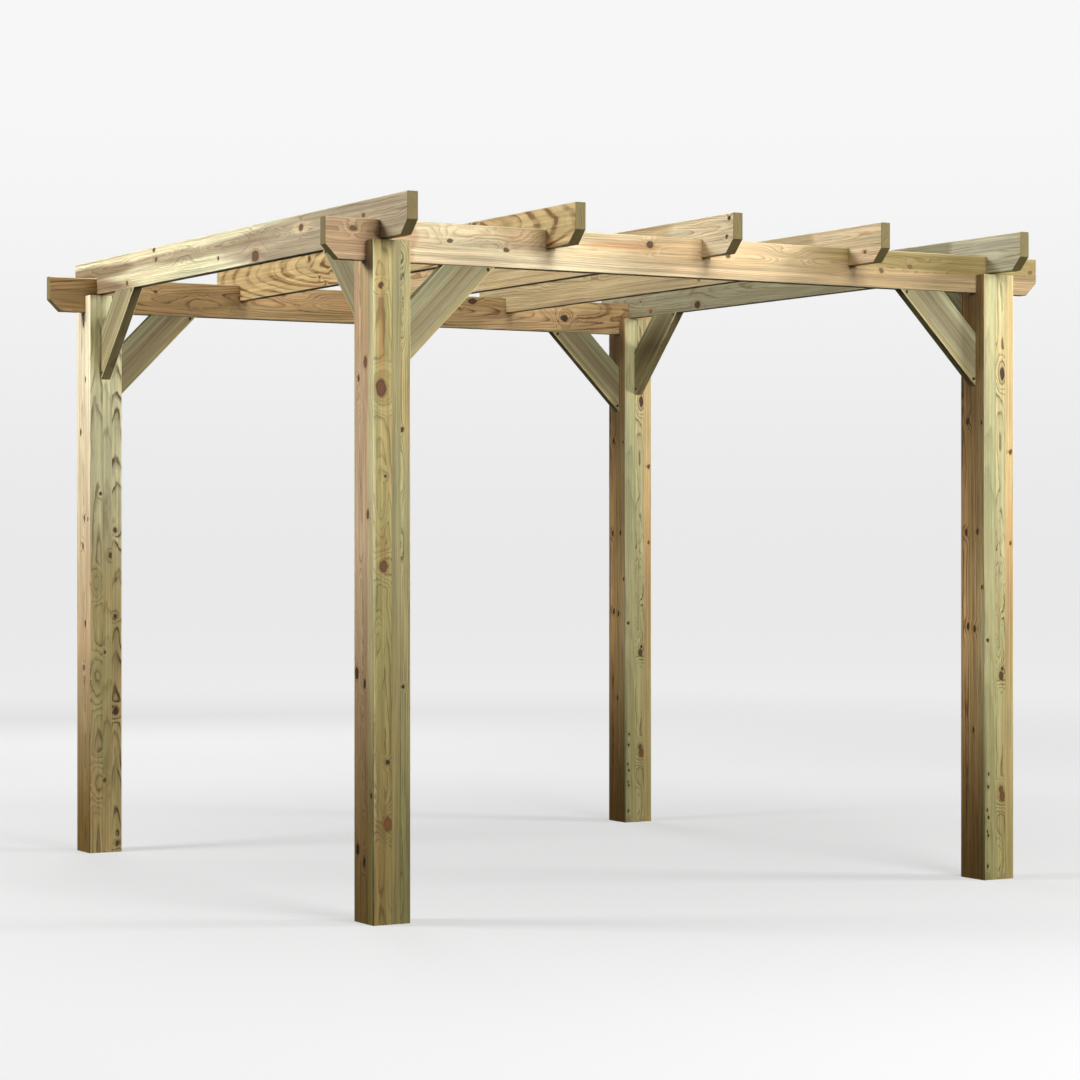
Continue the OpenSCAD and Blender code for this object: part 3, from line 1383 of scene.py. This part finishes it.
def first_rafter() -> TimberFinish:
    """Cream board with a grey-brown stain at the front, darker towards the back.

    Returns:
        The finish.
    """
    board = replace(
        CREAM, pale=(238, 228, 188), warm=(236, 216, 170), green=(224, 224, 178), late=(150, 126, 86),
        pith=(84.0, -40.0), lean=(4.0, 20.0), wander=36.0, ring=6.0, grain=0.6, seed=41.0,
        knots=(
            Knot(810, 96, 11, 1.3, 0.6, swirl=2.2), Knot(1196, 26, 17, 1.6, 0.6), Knot(1530, 46, 6, 1.4, 0.7),
            Knot(2130, 91, 8, 1.5, 0.6), Knot(2150, 131, 8, 1.4, 0.7), Knot(2430, 21, 8, 1.4, 0.6),
            Knot(320, 91, 7, 1.5, 0.5), *eyes((1190, 88, 12, 4), (1850, 84, 10, 5), (940, 92, 7, 4)),
        ),
    )
    zones = (
        Zone((180, 160, 130), 0.85, along=(-500, 1480), across=(-26, 146), soft=10),
        Zone((168, 148, 116), 0.8, along=(1000, 2360), across=(60, 108), soft=8),
        Zone((132, 104, 70), 0.85, along=(2300, 3700), across=(50, 110), soft=8),
        Zone((128, 94, 64), 0.85, along=(2350, 3800), across=(-60, 58), soft=12),
        Zone((232, 212, 168), 0.7, along=(720, 860), across=(76, 118), soft=8),
    )
    return TimberFinish((board,), zones=zones, knot_live=(150, 108, 76))


def plain_rafter(
    seed: int, pale: Colour, warm: Colour, green: Colour, inner: Colour, *knots: Knot, **changes: Any
) -> TimberFinish:
    """A rafter with its own colours and the knots of its front end.

    Args:
        seed: Sets its grain apart from the others.
        pale: Its main colour.
        warm: Its warmer patches.
        green: Its greener patches.
        inner: The darker colour of its length between the beams.
        *knots: The knots of its front end.
        **changes: Other fields of its stave to change.

    Returns:
        The finish.
    """
    rest = scattered_knots(seed, 5, (700, 2950), (12, 128))
    board = replace(
        CREAM, pale=pale, warm=warm, green=green, pith=(60.0 + 12.0 * (seed % 5), -46.0),
        lean=(5.0, 32.0), wander=30.0, ring=6.0, grain=0.7, seed=float(seed), knots=(*knots, *rest),
    )
    board = replace(board, **changes)
    between = Zone(inner, 0.7, along=(420, 3600), soft=30)
    return TimberFinish((board,), zones=(between,))


def brace_finish(seed: int) -> TimberFinish:
    """Straight grain: a yellow outer edge, a grey-green inner edge and a brown band.

    Args:
        seed: Sets its grain apart from the other braces'.

    Returns:
        The finish.
    """
    board = replace(
        OLIVE, pale=(172, 162, 122), late=(116, 100, 70), warm=(170, 148, 108), green=(156, 158, 122),
        pith=(340.0, -10.0), lean=(0.0, 6.0), wander=9.0, ring=6.5, grain=0.4, seed=float(seed),
    )
    zones = (
        Zone((136, 120, 86), 0.65, across=(40, 94), soft=20),
        Zone((168, 150, 96), 0.6, across=(-20, 20), soft=8),
        Zone((152, 152, 114), 0.5, across=(112, 170), soft=10),
    )
    return TimberFinish((board,), zones=zones, end=(96, 88, 56))


# ---------------------------------------------------------------------------------------
# Studio
# ---------------------------------------------------------------------------------------


@dataclass(frozen=True)
class Softbox:
    """A square soft light that the camera doesn't see."""

    name: str
    place: tuple[float, float, float]
    aim: tuple[float, float, float]
    side: float
    power: float

    def build(self) -> None:
        """Makes the light and aims it."""
        data = bpy.data.lights.new(self.name, "AREA")
        data.shape, data.size, data.energy = "SQUARE", self.side, self.power
        light = bpy.data.objects.new(self.name, data)
        light.location = self.place
        way = Vector(self.aim) - Vector(self.place)
        light.rotation_euler = way.to_track_quat("-Z", "Y").to_euler()
        light.visible_camera = False
        bpy.context.scene.collection.objects.link(light)


@dataclass
class Studio:
    """A wide pale floor under a pale dome, soft lights and the camera.

    The dome and the floor glow by themselves and throw no light on the timbers, so the
    softboxes and the dim sky outside shape them, and shadows on the floor stay faint. The
    floor glows less in the middle, as painted shade under the pergola.
    """

    radius: float = 70.0
    eye: tuple[float, float, float] = (-5.675, -9.939, 1.281)
    heading: float = -30.02  # degrees that the camera turns from +Y
    lens: float = 96.8
    shift: float = -0.0013
    low_wall: float = 0.815
    high_wall: float = 0.93
    wall_rise: float = 0.2  # share of the dome's height over which the wall brightens
    # The floor's glow is least in the middle, a painted shade under the pergola
    floor_shade_glow: float = 0.4
    middle_floor: float = 0.57
    far_floor: float = 0.77
    floor_reach: tuple[float, float, float] = (0.5, 5.0, 14.0)  # where the floor's three glows lie
    floor_paint: float = 0.3
    sky: float = 0.15
    under: float = 0.04
    horizon: float = 0.15  # half the rise over which the sky's light dims
    sensor: float = 36.0  # width of the camera's sensor
    rows: int = 24  # rings of the floor and of the dome
    laps: int = 96  # steps round them
    softboxes: tuple[Softbox, ...] = (
        Softbox("key_light", (8.5, -6.0, 5.5), (0.0, -0.3, 1.8), side=2.6, power=720.0),
        Softbox("front_light", (0.3, -7.4, 5.2), (0.0, -0.8, 2.0), side=3.2, power=430.0),
        Softbox("left_light", (-5.4, 1.4, 4.3), (-0.8, 0.1, 2.0), side=1.8, power=290.0),
        Softbox("back_light", (1.5, 8.0, 4.5), (0.0, 0.5, 1.6), side=3.0, power=220.0),
    )

    @staticmethod
    def glowing(graph: Graph, glow: Term, paint: float, roughness: float) -> bpy.types.Material:
        """Ends a graph in a matt grey paint that glows by itself.

        Args:
            graph: The material's graph.
            glow: The brightness of the glow.
            paint: The grey of the paint.
            roughness: The paint's roughness.

        Returns:
            The finished material.
        """
        shade = graph.node("CombineColor", inputs={0: glow, 1: glow, 2: glow})
        look = {"Base_Color": (paint, paint, paint, 1.0), "Emission_Color": shade, "Emission_Strength": 1.0}
        return graph.finish(Roughness=roughness, Specular_IOR_Level=0.0, **look)

    def floor(self) -> None:
        """Makes the floor, a level disc, and its finish: it glows less near the middle, a painted shade under
        the pergola.
        """
        graph = material_graph("studio_floor")
        place = graph.node("TexCoord", output="Object")
        away = graph.vector("LENGTH", place, output="Value")
        near, middle, far = self.floor_reach
        glow = graph.ease(away, near, middle, self.floor_shade_glow, self.middle_floor)
        glow = glow + graph.ease(away, middle, far, 0.0, self.far_floor - self.middle_floor)
        material = self.glowing(graph, glow, paint=self.floor_paint, roughness=0.9)
        radius = np.concatenate([[0.0], np.geomspace(near, self.radius, self.rows)])
        self.turned("Floor", radius, np.zeros(len(radius)), material)

    def dome(self) -> None:
        """Makes the dome, at R times (cos e, sin e) for e from 0 to 90 degrees."""
        graph = material_graph("studio_dome")
        place = graph.node("TexCoord", output="Object")
        height = graph.node("SeparateXYZ", inputs={"Vector": place}, output="Z")
        glow = graph.ease(height, 0.0, self.wall_rise * self.radius, self.low_wall, self.high_wall)
        material = self.glowing(graph, glow, paint=0.0, roughness=1.0)
        rise = np.linspace(0.0, math.pi / 2, self.rows)
        dome = self.turned("Dome", self.radius * np.cos(rise), self.radius * np.sin(rise), material)
        dome.visible_shadow = False

    def turned(
        self, name: str, radius: np.ndarray, height: np.ndarray, material: bpy.types.Material
    ) -> bpy.types.Object:
        """An open turned surface about Z that the camera sees and the timbers don't.

        Args:
            name: Its name.
            radius: The profile's radii.
            height: The profile's heights.
            material: Its finish.

        Returns:
            The object.
        """
        turn = np.linspace(0.0, 2 * math.pi, self.laps, endpoint=False)
        level = np.repeat(height[:, None], self.laps, axis=1)
        grid = np.stack([radius[:, None] * np.cos(turn), radius[:, None] * np.sin(turn), level], axis=2)
        quads = ring_quads(len(radius), self.laps)[:, ::-1]
        marks = np.zeros(len(quads))
        surface = Shape(grid.reshape(-1, 3), quads.tolist(), marks, marks, marks + 1).mesh(name)
        surface.data.materials.append(material)
        surface.visible_diffuse = surface.visible_glossy = False
        return surface

    def world(self) -> None:
        """Makes the even light that reaches the timbers: dim above and dimmer below."""
        world = bpy.data.worlds.new("studio_sky")
        graph = Graph(world)
        way = graph.node("TexCoord", output="Generated")
        up = graph.node("SeparateXYZ", inputs={"Vector": way}, output="Z")
        bright = graph.ease(up, -self.horizon, self.horizon, self.under, self.sky)
        background = graph.node("Background", inputs={"Color": (1.0, 1.0, 1.0, 1.0), "Strength": bright})
        graph.node("OutputWorld", inputs={"Surface": background})
        bpy.context.scene.world = world

    def camera(self) -> None:
        """Sets up the camera: level, with a long lens."""
        data = bpy.data.cameras.new("camera")
        data.lens, data.sensor_width, data.shift_y = self.lens, self.sensor, self.shift
        data.clip_end = 3 * self.radius
        camera = bpy.data.objects.new("camera", data)
        camera.location = self.eye
        camera.rotation_euler = (math.pi / 2, 0.0, math.radians(self.heading))
        bpy.context.scene.collection.objects.link(camera)
        bpy.context.scene.camera = camera

    def build(self) -> None:
        """Builds the studio."""
        self.floor()
        self.dome()
        self.world()
        self.camera()
        for softbox in self.softboxes:
            softbox.build()
        bpy.context.scene.view_settings.view_transform = "Standard"
        log.info("studio: floor, dome, sky, lights and camera")


# ---------------------------------------------------------------------------------------
# The pergola
# ---------------------------------------------------------------------------------------


@dataclass
class Pergola:
    """The whole frame: posts, beams, rafters and knee braces."""

    rows: tuple[str, str] = ("front", "back")
    ends: tuple[str, str] = ("left", "right")

    def posts(self) -> list[Timber]:
        """The four posts, from their own looks.

        Returns:
            The posts, not built yet.
        """
        looks = {
            "front_left": front_left_post(), "front_right": right_post(),
            "back_left": back_left_post(), "back_right": right_post(),
        }
        return [
            Post(f"{corner}_post", look, beam=corner.split("_")[0] + "_beam")
            for corner, look in looks.items()
        ]

    def boards(self) -> list[Timber]:
        """The two beams and the five rafters.

        Returns:
            The boards, not built yet.
        """
        return [
            Beam("front_beam", front_beam()),
            Beam("back_beam", back_beam()),
            Rafter("rafter_1", first_rafter()),
            Rafter("rafter_2", plain_rafter(
                52, (232, 206, 152), (226, 188, 126), (216, 198, 136), (196, 168, 116),
                ring=14.0, lean=(5.0, 115.0), pith=(88.0, -190.0), wander=16.0, grain=0.95,
                late=(146, 110, 60))),
            Rafter("rafter_3", plain_rafter(
                53, (248, 230, 192), (246, 218, 172), (232, 222, 178), (204, 176, 124),
                Knot(24, 122, 7, 1.1, 0.9), Knot(40, 60, 6, 1.1, 0.9))),
            Rafter("rafter_4", plain_rafter(
                54, (246, 224, 184), (246, 212, 168), (226, 216, 168), (190, 170, 122),
                Knot(100, 42, 6, 1.4, 0.3))),
            Rafter("rafter_5", plain_rafter(
                55, (214, 208, 180), (210, 198, 164), (200, 202, 172), (150, 142, 104),
                Knot(2190, 23, 14, 1.4, 0.9))),
        ]

    def braces(self) -> list[Timber]:
        """The eight knee braces, two to a post.

        Returns:
            The braces, not built yet.
        """
        made = []
        for i, (row, end) in enumerate((row, end) for row in self.rows for end in self.ends):
            for j, kind in enumerate(("beam", "rafter")):
                made.append(KneeBrace(
                    f"{row}_{end}_{kind}_brace", brace_finish(61 + 2 * i + j),
                    post=f"{row}_{end}_post", beam=f"{row}_beam"))
        return made

    def build(self) -> None:
        """Builds every timber."""
        for timber in self.posts() + self.boards() + self.braces():
            timber.build()


def main() -> None:
    """Builds the pergola in its frame and the studio round it."""
    logging.basicConfig(level=logging.INFO, format="%(name)s: %(message)s")
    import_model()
    Pergola().build()
    Studio().build()


if __name__ == "__main__":
    main()
